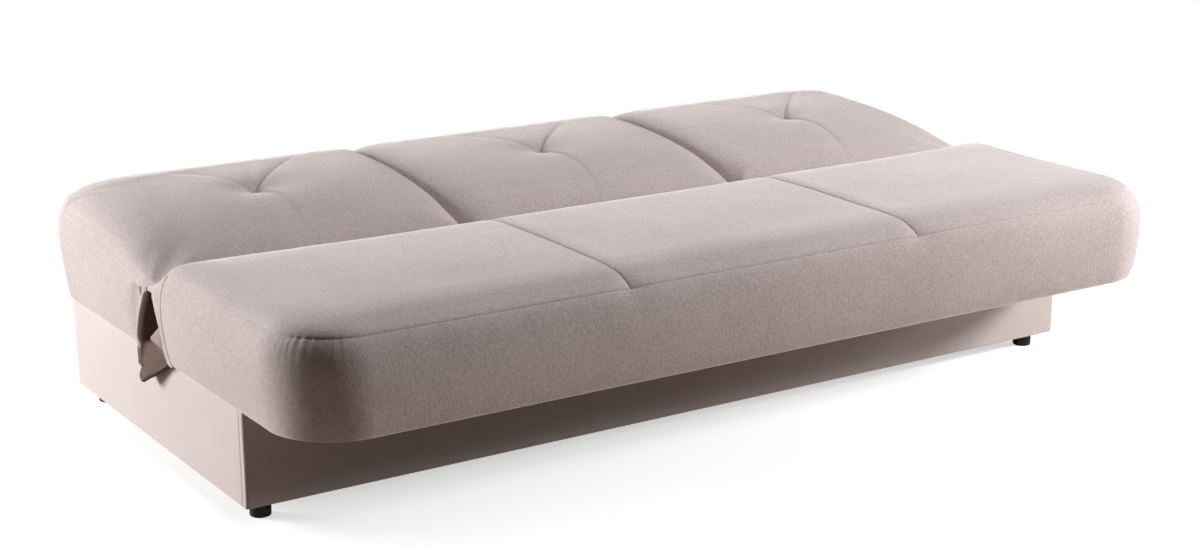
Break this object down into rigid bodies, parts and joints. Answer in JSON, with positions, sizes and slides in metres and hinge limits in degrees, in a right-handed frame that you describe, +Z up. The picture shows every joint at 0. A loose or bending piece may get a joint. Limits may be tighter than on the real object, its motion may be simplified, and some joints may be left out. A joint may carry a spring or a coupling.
{
  "type": "armless sofa",
  "caption": "Armless sofa bed, shown opened flat: a quilted back that folds up on ratchet hinges beside a level seat, over a bedding box on low feet.",
  "frame": {"origin": "on the floor, under the middle of the sofa as it lies open: the bottom centre of its box", "axes": "+X along the length to the right seen from the front, +Y from the seat to the back, +Z up"},
  "size_m": [1.95, 1.13, 0.437],
  "materials": {
    "velour": "matte",
    "base_cloth": "matte",
    "lining": "matte",
    "foam": "matte",
    "pine": "matte",
    "board": "matte",
    "steel": "satin",
    "plastic": "satin",
    "nylon": "satin",
    "twine": "matte"
  },
  "bodies": {
    "base": {"base_cover": "base_cloth", "base_floor": "board", "base_board_front": "board", "base_board_rear": "board", "base_board_left": "board", "base_board_right": "board", "corner_block_front_left": "pine", "corner_block_front_right": "pine", "corner_block_rear_left": "pine", "corner_block_rear_right": "pine", "foot_front_left": "plastic", "foot_front_right": "plastic", "foot_rear_left": "plastic", "foot_rear_right": "plastic", "hinge_track_left": "steel", "hinge_track_right": "steel"},
    "carriage": {"hinge_carriage_left": "steel", "hinge_carriage_right": "steel", "glide_shoe_left": "nylon", "glide_shoe_right": "nylon", "hinge_ratchet_left": "steel", "hinge_ratchet_right": "steel", "hinge_pin_left": "steel", "hinge_pin_right": "steel", "gusset_left": "velour", "gusset_right": "velour"},
    "seat": {"seat_cover": "velour", "seat_foam": "foam", "seat_dust_cloth": "lining", "seat_rail_front": "pine", "seat_rail_rear": "pine", "seat_rail_left": "pine", "seat_rail_right": "pine", "seat_rail_middle": "pine", "seat_spring_1": "steel", "seat_spring_2": "steel", "seat_spring_3": "steel", "seat_spring_4": "steel", "seat_hinge_arm_left": "steel", "seat_hinge_arm_right": "steel"},
    "back": {"back_cover": "velour", "back_foam": "foam", "back_dust_cloth": "lining", "back_rail_front": "pine", "back_rail_rear": "pine", "back_rail_left": "pine", "back_rail_right": "pine", "back_rail_middle": "pine", "back_spring_1": "steel", "back_spring_2": "steel", "back_spring_3": "steel", "back_spring_4": "steel", "back_hinge_arm_left": "steel", "back_hinge_arm_right": "steel", "tuft_tie_left": "twine", "tuft_tie_middle": "twine", "tuft_tie_right": "twine"}
  },
  "joints": [
    {"name": "seat_slide", "type": "slide", "parent": "base", "child": "carriage", "axis": [0, 1, 0], "range_m": [0, 0.27]},
    {"name": "back_fold", "type": "hinge", "parent": "carriage", "child": "back", "pos_m": [0, 0, 0.366], "axis": [1, 0, 0], "range_deg": [0, 80], "deforming": ["gusset_left", "gusset_right"]},
    {"name": "seat_lift", "type": "hinge", "parent": "carriage", "child": "seat", "pos_m": [0, 0, 0.366], "axis": [-1, 0, 0], "range_deg": [0, 25], "deforming": ["gusset_left", "gusset_right"]}
  ],
  "couplings": [
    {"joint": "seat_slide", "follows": "back_fold", "m_per_rad": 0.19337}
  ]
}
